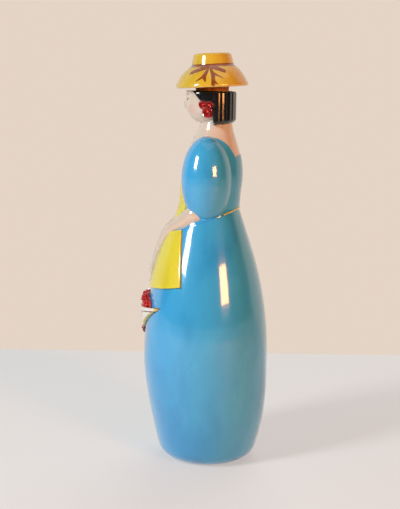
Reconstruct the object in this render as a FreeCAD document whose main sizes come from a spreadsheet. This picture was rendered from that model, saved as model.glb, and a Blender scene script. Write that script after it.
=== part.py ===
import FreeCAD, Part
import math
import os
import Sketcher

# Figural liquor decanter in glazed ceramic: a standing lady whose hat is the stopper.
# The frame is millimetres with Z up, the floor at Z = 0, the face towards -Y and the left arm towards +X.

doc = FreeCAD.newDocument("figural_decanter")
sheet = doc.addObject("Spreadsheet::Sheet", "Sizes")
vector = FreeCAD.Vector

# Name, value and meaning of every size. A shift is the place of a section's centre along Y.
sizes = [
    ("wall", 3.6, "wall of the cast shell"),
    ("hem_round", 12.0, "rounding between foot and skirt"),
    ("hip_height", 69.0, "floor to the widest part of the skirt"),
    ("hip_radius", 41.05, "skirt at its widest"),
    ("skirt_sweep", 228.0, "radius of the barrel curve of the skirt"),
    ("skirt_shift", -1.9, "middle of the skirt along Y"),
    ("bend_rise", 73.0, "widest part up to where the skirt runs straight"),
    ("waist_rise", 26.0, "from there up to the waist"),
    ("waist_overlap", 10.0, "how far the skirt runs past the waist before it is cut"),
    ("waist_tilt", 18.3, "slant of the waist, lower at the front"),
    ("waist_drop", 7.0, "waist level down to the slanted waist on the axis"),
    ("torso_lean", 4.0, "torso leaning back"),
    ("torso_shift", -0.7, "middle of the torso at the waist along Y"),
    ("under_drop", 30.0, "waist down to the lower end of the bodice"),
    ("under_flare", 6.4, "lower end of the bodice out from its waist"),
    ("bodice_step", 1.06, "skirt at the waist in to the bodice"),
    ("ribs_rise", 12.0, "waist to ribs, with one radius"),
    ("chest_sweep", 55.0, "curve from ribs to shoulder"),
    ("shoulder_rise", 26.0, "ribs to shoulder"),
    ("shoulder_radius", 16.0, "torso at the shoulder"),
    ("nape_rise", 11.0, "shoulder to nape"),
    ("nape_radius", 11.6, "neck at the nape"),
    ("neck_sweep", 40.0, "hollow curve of the neck"),
    ("neck_rise", 7.5, "nape to the upper end of the neck"),
    ("neck_radius", 9.9, "neck at its upper end"),
    ("neckline_rise", 24.7, "waist up to the neckline of the bodice on the axis"),
    ("neckline_tilt", 27.0, "slant of the neckline, lower at the front"),
    ("chin_drop", 2.4, "upper end of the neck down to the lowest point of the head"),
    ("head_shift", -2.0, "middle of the head along Y"),
    ("jaw_radius", 7.5, "start of the round of the jaw"),
    ("jaw_sweep", 13.5, "round of the jaw"),
    ("cheek_rise", 10.4, "lowest point of the head to the cheek"),
    ("cheek_radius", 14.5, "head at the cheek"),
    ("crown_rise", 9.6, "cheek to the flat top of the head"),
    ("crown_radius", 14.9, "head at its flat top"),
    ("throat_top_radius", 8.0, "way through the head at the end of the cork"),
    ("throat_low_radius", 5.4, "way through the head at its lower end"),
    ("throat_length", 16.0, "length of that way"),
    ("throat_shift", 0.6, "middle of that way along Y"),
    ("nose_width", 1.4, "half width of the nose"),
    ("nose_depth", 1.5, "how far the nose stands out"),
    ("nose_height", 2.7, "half height of the nose"),
    ("nose_rise", 0.8, "cheek up to the middle of the nose"),
    ("sleeve_inset", 3.1, "bodice in to the half width of a sleeve front to back"),
    ("sleeve_bulge", 16.0, "half depth of a sleeve side to side"),
    ("sleeve_top", 27.0, "widest part of a sleeve up to its top"),
    ("sleeve_tip", 30.0, "widest part of a sleeve down to its tip"),
    ("sleeve_sink", 6.8, "bodice in to the middle of a sleeve"),
    ("sleeve_shift", -2.9, "middle of a sleeve along Y"),
    ("sleeve_rise", 18.5, "waist up to the widest part of a sleeve"),
    ("elbow_girth", 7.0, "forearm radius at the sleeve"),
    ("arm_girth", 4.2, "forearm radius halfway"),
    ("wrist_girth", 2.9, "forearm radius at the wrist"),
    ("elbow_angle", 50.0, "elbow end round from the front"),
    ("arm_angle", 14.0, "halfway along the forearm round from the front"),
    ("wrist_angle", 6.0, "wrist round from the front"),
    ("elbow_drop", 3.4, "waist down to the elbow end"),
    ("elbow_sink", 5.9, "middle of the elbow end inside the skirt's curve"),
    ("arm_drop", 17.0, "waist down to halfway along the forearm"),
    ("wrist_drop", 37.0, "waist down to the wrist"),
    ("hand_reach", 6.5, "wrist down to the middle of a hand"),
    ("arm_lift", 1.2, "middle of the forearm off the skirt"),
    ("hand_length", 7.2, "half length of a hand"),
    ("hand_width", 3.6, "half width of a hand"),
    ("hand_depth", 3.0, "half depth of a hand"),
    ("hand_gap", 0.4, "space between the two hands"),
    ("apron_thickness", 1.6, "apron over the skirt"),
    ("apron_edge", 18.8, "side edge of the apron in front of the axis"),
    ("apron_tilt", 12.0, "slant of the apron's lower edge"),
    ("apron_margin", 1.2, "finger tips down to the apron's lower edge"),
    ("stomacher_thickness", 0.9, "front panel over the bodice"),
    ("stomacher_depth", 7.9, "front of the bodice back to the edge of the front panel"),
    ("stomacher_half_width", 12.2, "front panel to each side"),
    ("cord_width", 1.1, "cord along the waist"),
    ("cord_thickness", 0.8, "how far the cord stands out"),
    ("cord_start", 8.0, "where the cord ends behind the axis"),
    ("hair_thickness", 1.6, "hair over the head"),
    ("hair_shift", 0.2, "hair set back from the head"),
    ("hair_round", 2.0, "rounding of the hair at the top"),
    ("hair_hem", 21.6, "top of the head down to the lower edge on the axis"),
    ("hair_tilt", 5.0, "slant of the lower edge, higher at the back"),
    ("hair_spare", 8.0, "hair below its lower edge before it is cut"),
    ("hair_top_edge", 12.8, "hair at the top of the head, in front of the axis"),
    ("hair_temple_edge", 7.7, "hair at the temple, in front of the axis"),
    ("hair_temple_drop", 6.2, "top of the head down to the temple"),
    ("hair_ear_edge", 0.6, "hair above the ear, in front of the axis"),
    ("hair_ear_drop", 7.4, "top of the head down to the hair above the ear"),
    ("hair_side_edge", 1.2, "hair at its lower edge, behind the axis"),
    ("groove_first_angle", -8.0, "first groove of the hair round from the side"),
    ("groove_step_angle", 14.0, "from one groove to the next"),
    ("groove_radius", 0.9, "groove between two locks"),
    ("groove_stand", 0.35, "middle of a groove outside the hair"),
    ("ear_bloom", 3.0, "radius of a blossom at the ear"),
    ("ear_spread", 2.5, "middle of the cluster to each blossom"),
    ("ear_shift", -3.7, "cluster at the ear along Y"),
    ("ear_drop", 11.2, "top of the head down to the cluster"),
    ("ear_stand", 0.4, "cluster off the cheek"),
    ("bouquet_rise", 29.0, "hip up to the level of the bouquet"),
    ("paper_half_width", 25.0, "bouquet paper to each side"),
    ("paper_rise", 6.2, "bouquet level up to the corners of the paper"),
    ("paper_middle", 3.0, "bouquet level up to the middle of its upper edge"),
    ("paper_point", 13.0, "bouquet level down to the point of the paper"),
    ("paper_proud", 4.4, "paper in front of the skirt"),
    ("paper_depth", 26.0, "half depth of the bulge of the paper"),
    ("paper_span", 30.0, "half width and height of that bulge"),
    ("bunch_bloom", 4.4, "radius of a blossom in the bouquet"),
    ("bunch_stand", 1.5, "middle of a blossom off the skirt"),
    ("bunch_step", 6.2, "from one blossom of the bouquet to the next"),
    ("bunch_rise", 8.4, "bouquet level up to the blossoms"),
    ("knot_radius", 2.1, "knot at the point of the paper"),
    ("knot_drop", 0.6, "point of the paper down to the middle of the knot"),
    ("knot_stand", 0.5, "middle of the knot off the skirt"),
    ("cork_end_radius", 9.5, "lower end of the cork"),
    ("cork_top_radius", 10.9, "upper end of the cork"),
    ("cork_length", 16.6, "length of the cork"),
    ("cork_stand", 4.6, "cork above the head"),
    ("cork_clearance", 0.2, "space between cork and mouth"),
    ("stem_radius", 6.4, "ceramic stem inside the cork"),
    ("stem_short", 1.0, "stem ends this far above the end of the cork"),
    ("stem_root", 3.0, "stem runs into the hat"),
    ("drain_radius", 3.0, "casting hole in the stem"),
    ("drain_depth", 22.0, "depth of that hole"),
    ("hat_gap", 2.1, "head to the lower edge of the brim"),
    ("hat_tilt", 3.0, "hat tipped towards the face"),
    ("hat_shift", 0.0, "middle of the hat along Y"),
    ("hat_height", 21.4, "brim to top of the crown"),
    ("brim_radius", 22.7, "brim at its edge"),
    ("brim_drop", 1.6, "straight edge of the brim"),
    ("brim_sweep", 30.0, "curve from there to the ribbon band"),
    ("band_height", 13.8, "brim to the ribbon band"),
    ("band_radius", 13.3, "crown at the ribbon band"),
    ("hat_top_radius", 12.3, "crown at its top"),
    ("lip_width", 3.6, "flat lower edge of the brim"),
    ("recess_radius", 13.4, "hollow under the hat"),
    ("recess_depth", 6.6, "depth of that hollow"),
    ("top_round", 2.2, "rounding of the crown"),
    ("band_round", 2.0, "rounding above the brim"),
    ("brim_round", 1.5, "rounding of the brim's shoulder"),
    ("lip_round", 1.2, "rounding of the brim's lower edge"),
    ("reach", 160.0, "length of the cutting blocks"),
]

for row, (name, value, meaning) in enumerate(sizes, 1):
    sheet.set("A%d" % row, name)
    sheet.set("B%d" % row, str(value))
    sheet.set("C%d" % row, meaning)
    sheet.setAlias("B%d" % row, name)
doc.recompute()


def size(name):
    return "Sizes." + name


def total(*names):
    return "(" + " + ".join(size(name) for name in names) + ")"


def bind(item, **links):
    # Ties each property of an object to a formula over the sheet.
    for prop, formula in links.items():
        item.setExpression(prop, formula)
    return item


def place(item, x="0", y="0", z="0"):
    item.setExpression(".Placement.Base.x", x)
    item.setExpression(".Placement.Base.y", y)
    item.setExpression(".Placement.Base.z", z)
    return item


def tilt(item, formula, axis=(1, 0, 0)):
    item.Placement = FreeCAD.Placement(vector(0, 0, 0), FreeCAD.Rotation(vector(*axis), 1))
    item.setExpression(".Placement.Rotation.Angle", formula)
    return item


def join(name, *items):
    form = doc.addObject("Part::MultiFuse", name)
    form.Shapes = list(items)
    return form


def cut(name, base, *tools):
    # Takes the tools away one after another, the last result carrying the name.
    for i, tool in enumerate(tools, 1):
        label = name if i == len(tools) else "%s_step_%d" % (name, i)
        form = doc.addObject("Part::Cut", label)
        form.Base = base
        form.Tool = tool
        base = form
    return form


def mirrored(name, source):
    form = doc.addObject("Part::Mirroring", name)
    form.Source = source
    form.Normal = vector(1, 0, 0)
    return form


def common(name, *items):
    form = doc.addObject("Part::MultiCommon", name)
    form.Shapes = list(items)
    return form


def front_block(name, y, half_width=size("reach")):
    # A block on the floor, even about X, with everything in front of the plane at y.
    block = doc.addObject("Part::Box", name)
    bind(block, Length=half_width + " * 2", Width=size("reach"), Height=size("reach") + " * 2")
    return place(block, "-" + half_width, "%s - %s" % (y, size("reach")))


def half_space(name, z, slant="0"):
    # A wide drum standing on a plane that crosses the axis at height z and slants down to the front.
    drum = doc.addObject("Part::Cylinder", name)
    bind(drum, Radius=size("reach"), Height=size("reach"))
    return place(tilt(drum, slant), z=z)


def arc_between(start, end, radius):
    # The short arc from start to end, swelling to the right of the way for a positive radius.
    half = (end - start) * 0.5
    middle = start + half
    normal = vector(half.y, -half.x, 0).normalize()
    rise = math.sqrt(radius * radius - half.Length ** 2)
    peak = abs(radius) - rise
    top = middle + normal * (peak if radius > 0 else -peak)
    return Part.Arc(start, top, end)


def outline(body, name, plane, corners):
    # A closed outline on one of the body's origin planes, each corner tied to two formulas.
    # A third formula gives the radius of the arc that leads to the next corner, below zero for a hollow one.
    sketch = body.newObject("Sketcher::SketchObject", name)
    support = [face for face in body.Origin.OriginFeatures if face.Role == plane]
    sketch.AttachmentSupport = [(support[0], "")]
    sketch.MapMode = "FlatFace"
    count = len(corners)
    spots = [vector(value_of(corner[0]), value_of(corner[1]), 0) for corner in corners]
    for i, corner in enumerate(corners):
        start, end = spots[i], spots[(i + 1) % count]
        if len(corner) > 2:
            sketch.addGeometry(arc_between(start, end, value_of(corner[2])), False)
        else:
            sketch.addGeometry(Part.LineSegment(start, end), False)
    ends = [end_points(sketch, i, spots[i]) for i in range(count)]
    for i in range(count):
        following = (i + 1) % count
        sketch.addConstraint(Sketcher.Constraint("Coincident", i, ends[i][1], following, ends[following][0]))
    for i, corner in enumerate(corners):
        for kind, formula, value in (("DistanceX", corner[0], spots[i].x), ("DistanceY", corner[1], spots[i].y)):
            index = sketch.addConstraint(Sketcher.Constraint(kind, -1, 1, i, ends[i][0], value))
            sketch.setExpression("Constraints[%d]" % index, formula)
        if len(corner) > 2:
            index = sketch.addConstraint(Sketcher.Constraint("Radius", i, abs(value_of(corner[2]))))
            sketch.setExpression("Constraints[%d]" % index, "abs(%s)" % corner[2])
    return sketch


def end_points(sketch, index, start):
    # Which end of an element is its first and which its last; arcs always run anticlockwise.
    first = sketch.getPoint(index, 1)
    return (1, 2) if first.distanceToPoint(start) < 1e-6 else (2, 1)


def turned(name, corners, y="0"):
    # A form turned about the Z axis.
    body = doc.addObject("PartDesign::Body", name)
    form = body.newObject("PartDesign::Revolution", name + "_turn")
    form.Profile = outline(body, name + "_outline", xz_plane, corners)
    form.ReferenceAxis = (form.Profile[0], ["V_Axis"])
    form.Angle = 360
    return place(body, y=y)


def value_of(formula):
    return float(sheet.evalExpression(formula))


def pad(name, plane, corners):
    body = doc.addObject("PartDesign::Body", name)
    block = body.newObject("PartDesign::Pad", name + "_pad")
    block.Profile = outline(body, name + "_outline", plane, corners)
    block.SideType = "Symmetric"
    bind(block, Length=size("reach"))
    return body


xz_plane = "XZ_Plane"
yz_plane = "YZ_Plane"

# Levels above the floor, each one a sum of the rises below it.
hip_level = size("hip_height")
bend_level = total("hip_height", "bend_rise")
waist_level = total("hip_height", "bend_rise", "waist_rise")
neck_top = "(%s + %s * cos(%s * 1 deg))" % (
    waist_level, total("ribs_rise", "shoulder_rise", "nape_rise", "neck_rise"), size("torso_lean"))
chin_level = "(%s - %s)" % (neck_top, size("chin_drop"))
cheek_level = "(%s + %s)" % (chin_level, size("cheek_rise"))
crown_level = "(%s + %s)" % (cheek_level, size("crown_rise"))


def below(level, name):
    return "(%s - %s)" % (level, size(name))


def above(level, name):
    return "(%s + %s)" % (level, size(name))


def skirt_radius(level):
    # Radius of the skirt where it follows the barrel curve.
    return "(%s - %s + sqrt(%s ^ 2 - (%s - %s) ^ 2))" % (
        size("hip_radius"), size("skirt_sweep"), size("skirt_sweep"), level, hip_level)


# The straight run of the skirt ends at the waist, and the bodice stands on it.
waist_radius = "(%s - %s * %s / sqrt(%s ^ 2 - %s ^ 2))" % (
    skirt_radius(bend_level), size("waist_rise"), size("bend_rise"), size("skirt_sweep"), size("bend_rise"))
bodice_radius = "(%s - %s)" % (waist_radius, size("bodice_step"))


def skirt_form(name, grow):
    # Foot, quarter round, barrel curve and the straight run to the waist, all at one distance from the wall.
    middle = "(%s - %s)" % (size("hip_radius"), size("skirt_sweep"))
    span = "(%s - %s)" % (size("skirt_sweep"), size("hem_round"))
    fall = "(%s - %s)" % (hip_level, size("hem_round"))
    foot = "(%s + sqrt(%s ^ 2 - %s ^ 2))" % (middle, span, fall)
    barrel = "(%s%s)" % (size("skirt_sweep"), grow)
    hem = "(%s%s)" % (size("hem_round"), grow)
    floor = "(%s - %s)" % (size("hem_round"), hem)
    out = "(sqrt(%s ^ 2 - %s ^ 2) / %s)" % (size("skirt_sweep"), size("bend_rise"), size("skirt_sweep"))
    up = "(%s / %s)" % (size("bend_rise"), size("skirt_sweep"))
    bend_across = "(%s + %s * %s)" % (middle, barrel, out)
    bend_up = "(%s + %s * %s)" % (hip_level, barrel, up)
    run = "((%s - %s) / %s)" % (total("hip_height", "bend_rise", "waist_rise", "waist_overlap"), bend_up, out)
    return turned(name, [
        ("0", floor),
        (foot, floor, hem),
        ("%s + %s * (%s - %s) / %s" % (middle, barrel, foot, middle, span),
         "%s - %s * %s / %s" % (hip_level, barrel, fall, span), barrel),
        (bend_across, bend_up),
        ("%s - %s * %s" % (bend_across, run, up), "%s + %s * %s" % (bend_up, run, out)),
        ("0", "%s + %s * %s" % (bend_up, run, out)),
    ], size("skirt_shift"))


def torso_form(name, grow):
    # A leaning form from below the waist to inside the head.
    ribs = size("ribs_rise")
    shoulder = total("ribs_rise", "shoulder_rise")
    nape = total("ribs_rise", "shoulder_rise", "nape_rise")
    top = total("ribs_rise", "shoulder_rise", "nape_rise", "neck_rise")
    form = turned(name, [
        ("0", "-" + size("under_drop")),
        ("%s + %s" % (bodice_radius, size("under_flare")) + grow, "-" + size("under_drop")),
        (bodice_radius + grow, "0"),
        (bodice_radius + grow, ribs, size("chest_sweep")),
        (size("shoulder_radius") + grow, shoulder),
        (size("nape_radius") + grow, nape, "-" + size("neck_sweep")),
        (size("neck_radius") + grow, top + grow),
        ("0", top + grow),
    ])
    lean = "-" + size("torso_lean")
    return place(tilt(form, lean), y=size("torso_shift"), z=waist_level)


less_wall = " - " + size("wall")
above_waist = half_space("above_waist", below(waist_level, "waist_drop"), size("waist_tilt"))
above_neckline = half_space("above_neckline", above(waist_level, "neckline_rise"), size("neckline_tilt"))

# The bottle: skirt, bodice and head are cast apart and joined at the waist and the neckline.
skirt_core = cut("skirt_core", skirt_form("skirt_outside", ""), above_waist)
skirt_inside = skirt_form("skirt_inside", less_wall)
skirt_vessel = cut("skirt_vessel", skirt_core, skirt_inside)

torso_outside = torso_form("torso_outside", "")
torso_inside = torso_form("torso_inside", less_wall)
torso_core = common("torso_core", torso_outside, above_waist)
bodice_shell = cut("bodice_shell", torso_core, torso_inside, above_neckline)

# The cork and the mouth share one taper.
cork_base = "(%s - %s + %s)" % (crown_level, size("cork_length"), size("cork_stand"))


def taper(name, grow):
    cone = doc.addObject("Part::Cone", name)
    bind(cone, Radius1=size("cork_end_radius") + grow, Radius2=size("cork_top_radius") + grow)
    bind(cone, Height=size("cork_length"))
    return place(cone, y=size("hat_shift"), z=cork_base)


def nose():
    form = doc.addObject("Part::Ellipsoid", "nose")
    bind(form, Radius1=size("nose_height"), Radius2=size("nose_width"), Radius3=size("nose_depth"))
    front = "%s - %s" % (size("head_shift"), size("cheek_radius"))
    return place(form, y=front, z=above(cheek_level, "nose_rise"))


head_block = turned("head_block", [
    ("0", chin_level),
    (size("jaw_radius"), chin_level, size("jaw_sweep")),
    (size("cheek_radius"), cheek_level),
    (size("crown_radius"), crown_level),
    ("0", crown_level),
], size("head_shift"))
mouth = taper("mouth", " + " + size("cork_clearance"))
throat = doc.addObject("Part::Cone", "throat")
bind(throat, Radius1=size("throat_low_radius"), Radius2=size("throat_top_radius"), Height=size("throat_length"))
place(throat, y=size("throat_shift"), z=below(cork_base, "throat_length"))
neck_core = common("neck_core", torso_outside, above_neckline)
head_core = join("head_core", neck_core, head_block, nose())
head_and_neck = cut("head_and_neck", head_core, torso_inside, throat, mouth)


def sleeve():
    # An egg made of two half ellipsoids that meet at the widest level.
    across = "%s - %s" % (bodice_radius, size("sleeve_sink"))
    width = "%s - %s" % (bodice_radius, size("sleeve_inset"))
    halves = []
    for part, low, high in (("top", 0, 90), ("tip", -90, 0)):
        half = doc.addObject("Part::Ellipsoid", "sleeve_%s_half" % part)
        half.Angle1 = low
        half.Angle2 = high
        bind(half, Radius1=size("sleeve_" + part), Radius2=size("sleeve_bulge"), Radius3=width)
        halves.append(place(half, across, size("sleeve_shift"), above(waist_level, "sleeve_rise")))
    return cut("left_sleeve", join("sleeve_egg", *halves), torso_core, skirt_core)


def ball(name, spot, radius):
    form = doc.addObject("Part::Sphere", name)
    bind(form, Radius=radius)
    return place(form, *spot)


def limb(name, low, high, low_radius, high_radius):
    # A tapered length between two spots.
    step = ["(%s - (%s))" % (b, a) for a, b in zip(low, high)]
    length = "sqrt(%s ^ 2 + %s ^ 2 + %s ^ 2)" % tuple(step)
    form = doc.addObject("Part::Cone", name)
    bind(form, Radius1=low_radius, Radius2=high_radius, Height=length)
    spot = "create(<<vector>>; %s; %s; %s)" % tuple(low)
    axis = "create(<<vector>>; -1 * %s; %s; 0)" % (step[1], step[0])
    turn = "create(<<rotation>>; %s; acos(%s / %s))" % (axis, step[2], length)
    bind(form, Placement="create(<<placement>>; %s; %s)" % (spot, turn))
    return form


hand_level = "(%s - %s)" % (waist_level, total("wrist_drop", "hand_reach"))
hand_front = "(%s - %s)" % (size("skirt_shift"), skirt_radius(hand_level))


def forearm():
    # Two tapered lengths and a hand that lie over the skirt, each spot at its own angle from the front.
    stations = (
        ("elbow", below(waist_level, "elbow_drop"), "-" + size("elbow_sink")),
        ("arm", below(waist_level, "arm_drop"), size("arm_lift")),
        ("wrist", below(waist_level, "wrist_drop"), size("arm_lift")),
    )
    spots = {}
    for name, level, lift in stations:
        reach_out = "(%s + %s)" % (skirt_radius(level), lift)
        angle = "%s * 1 deg" % size(name + "_angle")
        across = "%s * sin(%s)" % (reach_out, angle)
        front = "%s - %s * cos(%s)" % (size("skirt_shift"), reach_out, angle)
        spots[name] = (across, front, level)
    front = "%s - %s" % (hand_front, size("arm_lift"))
    hand = doc.addObject("Part::Ellipsoid", "hand_form")
    bind(hand, Radius1=size("hand_length"), Radius2=size("hand_width"), Radius3=size("hand_depth"))
    place(hand, "%s + %s / 2" % (size("hand_width"), size("hand_gap")), front, hand_level)
    whole = join(
        "arm_and_hand", hand,
        limb("lower_arm", spots["wrist"], spots["arm"], size("wrist_girth"), size("arm_girth")),
        limb("upper_arm", spots["arm"], spots["elbow"], size("arm_girth"), size("elbow_girth")),
        ball("wrist_ball", spots["wrist"], size("wrist_girth")),
        ball("arm_ball", spots["arm"], size("arm_girth")),
    )
    return cut("left_forearm", whole, skirt_core, torso_core, left_sleeve)


left_sleeve = sleeve()
left_forearm = forearm()
right_sleeve = mirrored("right_sleeve", left_sleeve)
right_forearm = mirrored("right_forearm", left_forearm)

# Raised panels follow the skirt and the bodice at their own thickness.
apron_skin = skirt_form("apron_skin", " + " + size("apron_thickness"))
apron_front = front_block("apron_front", "-" + size("apron_edge"))
hem_level = "%s - %s - %s * tan(%s * 1 deg)" % (
    hand_level, total("hand_length", "apron_margin"), hand_front, size("apron_tilt"))
apron_above = half_space("apron_above", hem_level, size("apron_tilt"))
apron_sheet = common("apron_sheet", apron_skin, apron_front, apron_above)
apron_panel = cut("apron_panel", apron_sheet, above_waist, skirt_core, left_forearm, right_forearm)

stomacher_skin = torso_form("stomacher_skin", " + " + size("stomacher_thickness"))
stomacher_edge = "%s - %s + %s" % (size("torso_shift"), bodice_radius, size("stomacher_depth"))
stomacher_front = front_block("stomacher_front", stomacher_edge, size("stomacher_half_width"))
stomacher_sheet = common("stomacher_sheet", stomacher_skin, stomacher_front, above_waist)
bodice_front = cut("bodice_front", stomacher_sheet, above_neckline, torso_core,
                   left_sleeve, right_sleeve, left_forearm, right_forearm)

above_cord = half_space("above_cord", "%s - %s + %s" % (
    waist_level, size("waist_drop"), size("cord_width")), size("waist_tilt"))
cord_front = front_block("cord_front", size("cord_start"))
cord_skin = torso_form("cord_skin", " + " + size("cord_thickness"))
cord_sheet = common("cord_sheet", cord_skin, above_waist)
waist_cord = cut("waist_cord", cord_sheet, above_cord, cord_front, torso_core, left_sleeve, right_sleeve)


def hair():
    # A bob, grooved into locks, slanted below and open over the face.
    middle = "(%s + %s)" % (size("head_shift"), size("hair_shift"))
    full = "(%s + %s)" % (size("crown_radius"), size("hair_thickness"))
    low = "(%s - %s)" % (crown_level, total("hair_hem", "hair_spare"))
    bulk = turned("hair_bulk", [
        ("0", low),
        (full, low),
        (full, below(crown_level, "hair_round"), size("hair_round")),
        ("%s - %s" % (full, size("hair_round")), crown_level),
        ("0", crown_level),
    ], middle)
    hem = half_space("hair_hem_plane", below(crown_level, "hair_hem"), size("hair_tilt"))
    grooves = []
    for i in range(15):
        angle = "(%s + %d * %s) * 1 deg" % (size("groove_first_angle"), i, size("groove_step_angle"))
        groove = doc.addObject("Part::Cylinder", "groove_%d" % i)
        bind(groove, Radius=size("groove_radius"), Height=size("reach"))
        off = "(%s + %s)" % (full, size("groove_stand"))
        x = "%s * cos(%s)" % (off, angle)
        y = "%s + %s * sin(%s)" % (middle, off, angle)
        grooves.append(place(groove, x, y, low))
    far = "-" + size("reach")
    high = above(crown_level, "hair_round")
    face_gap = pad("face_gap", yz_plane, [
        (far, high),
        ("-" + size("hair_top_edge"), high),
        ("-" + size("hair_top_edge"), crown_level),
        ("-" + size("hair_temple_edge"), below(crown_level, "hair_temple_drop")),
        ("-" + size("hair_ear_edge"), below(crown_level, "hair_ear_drop")),
        (size("hair_side_edge"), below(crown_level, "hair_hem")),
        (size("hair_side_edge"), low),
        (far, low),
    ])
    smooth = cut("smooth_hair", common("hair_above_hem", bulk, hem), face_gap)
    return smooth, cut("hair_bob", smooth, head_block, torso_outside, join("grooves", *grooves))


def blossom(name, spot, radius, facing):
    # A rolled ring of petals around a round heart.
    ring_of_petals = doc.addObject("Part::Torus", name + "_petals")
    bind(ring_of_petals, Radius1=radius + " * 0.56", Radius2=radius + " * 0.44")
    turn = FreeCAD.Rotation(vector(0, 0, 1), vector(*facing))
    ring_of_petals.Placement = FreeCAD.Placement(vector(0, 0, 0), turn)
    place(ring_of_petals, *spot)
    return [ring_of_petals, ball(name + "_heart", spot, radius + " * 0.62")]


def ear_flowers():
    blooms = []
    out = "(%s + %s)" % (size("cheek_radius"), size("ear_stand"))
    for i in range(3):
        turn = math.radians(100 + 120 * i)
        y = "%s + %s * %.6f" % (size("ear_shift"), size("ear_spread"), math.cos(turn))
        z = "%s - %s + %s * %.6f" % (crown_level, size("ear_drop"), size("ear_spread"), math.sin(turn))
        blooms += blossom("bloom_%d" % i, (out, y, z), size("ear_bloom"), (1, 0, 0))
    return cut("left_ear_flowers", join("ear_blooms", *blooms), head_block, smooth_hair)


smooth_hair, hair_bob = hair()
left_ear_flowers = ear_flowers()
right_ear_flowers = mirrored("right_ear_flowers", left_ear_flowers)

# The bouquet on the front of the skirt: folded paper, blossoms above it and a knot at its point.
bouquet_level = above(hip_level, "bouquet_rise")
bouquet_radius = skirt_radius(bouquet_level)
skirt_front = "(%s - %s)" % (size("skirt_shift"), bouquet_radius)
paper_bulge = doc.addObject("Part::Ellipsoid", "paper_bulge")
bind(paper_bulge, Radius1=size("paper_span"), Radius2=size("paper_span"), Radius3=size("paper_depth"))
paper_centre = "%s - %s + %s" % (skirt_front, size("paper_proud"), size("paper_depth"))
place(paper_bulge, y=paper_centre, z=bouquet_level)
paper_low = "%s - %s" % (bouquet_level, size("paper_point"))
paper_high = "%s + %s" % (bouquet_level, size("paper_rise"))
paper_outline = pad("paper_outline", xz_plane, [
    ("-" + size("paper_half_width"), paper_high),
    ("0", "%s + %s" % (bouquet_level, size("paper_middle"))),
    (size("paper_half_width"), paper_high),
    ("0", paper_low),
])
paper_side = front_block("paper_side", "0")
bouquet_paper = cut("bouquet_paper", common("paper_sheet", paper_bulge, paper_outline, paper_side), skirt_core)

bunch = []
for i, (step, lift) in enumerate(((-2, -0.35), (-1, 0.1), (0, -0.2), (1, 0.1), (2, -0.35))):
    x = "%d * %s" % (step, size("bunch_step"))
    fall = "%s - sqrt(%s ^ 2 - (%s) ^ 2)" % (bouquet_radius, bouquet_radius, x)
    y = "%s + %s - %s" % (skirt_front, fall, size("bunch_stand"))
    z = "%s + %s + %.2f * %s" % (bouquet_level, size("bunch_rise"), lift, size("bunch_step"))
    bunch += blossom("bunch_%d" % i, (x, y, z), size("bunch_bloom"), (0, -1, 0))
bouquet_flowers = cut("bouquet_flowers", join("bunch", *bunch), skirt_core, bouquet_paper)

knot = doc.addObject("Part::Sphere", "knot")
bind(knot, Radius=size("knot_radius"))
knot_level = "(%s - %s)" % (paper_low, size("knot_drop"))
knot_front = "%s - %s - %s" % (size("skirt_shift"), skirt_radius(knot_level), size("knot_stand"))
place(knot, y=knot_front, z=knot_level)
bouquet_knot = cut("bouquet_knot", knot, skirt_core, bouquet_paper)

# The hat is turned about the axis, tipped forward and set on an upright stem with a cork.
hat_form = turned("hat_form", [
    ("0", size("recess_depth")),
    (size("recess_radius"), size("recess_depth")),
    (size("brim_radius") + " - " + size("lip_width"), "0"),
    (size("brim_radius"), "0"),
    (size("brim_radius"), size("brim_drop"), size("brim_sweep")),
    (size("band_radius"), size("band_height")),
    (size("hat_top_radius"), size("hat_height")),
    ("0", size("hat_height")),
])
hat_turn = hat_form.Tip
doc.recompute()


def edge_at(feature, radius, level):
    # The name of the round edge of a turned form with this radius at this level.
    best = None
    for i, edge in enumerate(feature.Shape.Edges, 1):
        curve = edge.Curve
        if isinstance(curve, Part.Circle):
            miss = abs(curve.Radius - value_of(radius)) + abs(curve.Center.z - value_of(level))
            if best is None or miss < best[0]:
                best = (miss, "Edge%d" % i)
    return best[1]


def soften(name, feature, amount, radius, level):
    fillet = hat_form.newObject("PartDesign::Fillet", name)
    fillet.Base = (feature, [edge_at(feature, radius, level)])
    bind(fillet, Radius=amount)
    doc.recompute()
    return fillet


crown_edge = soften("crown_edge", hat_turn, size("top_round"), size("hat_top_radius"), size("hat_height"))
band_edge = soften("band_edge", crown_edge, size("band_round"), size("band_radius"), size("band_height"))
lip_edge = soften("lip_edge", band_edge, size("lip_round"), size("brim_radius"), "0")
brim_edge = soften("brim_edge", lip_edge, size("brim_round"), size("brim_radius"), size("brim_drop"))
hat_level = "%s + %s" % (crown_level, size("hat_gap"))
place(tilt(hat_form, size("hat_tilt")), y=size("hat_shift"), z=hat_level)

stem_base = "%s + %s" % (cork_base, size("stem_short"))
stem = doc.addObject("Part::Cylinder", "stem")
stem_top = "%s + %s + %s" % (hat_level, size("recess_depth"), size("stem_root"))
bind(stem, Radius=size("stem_radius"), Height="%s - (%s)" % (stem_top, stem_base))
place(stem, y=size("hat_shift"), z=stem_base)
drain = doc.addObject("Part::Cylinder", "drain")
bind(drain, Radius=size("drain_radius"), Height=size("drain_depth"))
place(drain, y=size("hat_shift"), z=stem_base)
hat_stopper = cut("hat_stopper", join("hat_and_stem", hat_form, stem), drain)

stem_bore = doc.addObject("Part::Cylinder", "stem_bore")
bind(stem_bore, Radius=size("stem_radius"), Height=size("cork_length") + " * 2")
place(stem_bore, y=size("hat_shift"), z="%s - %s / 2" % (cork_base, size("cork_length")))
cork_sleeve = cut("cork_sleeve", taper("cork_form", ""), stem_bore)

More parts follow.
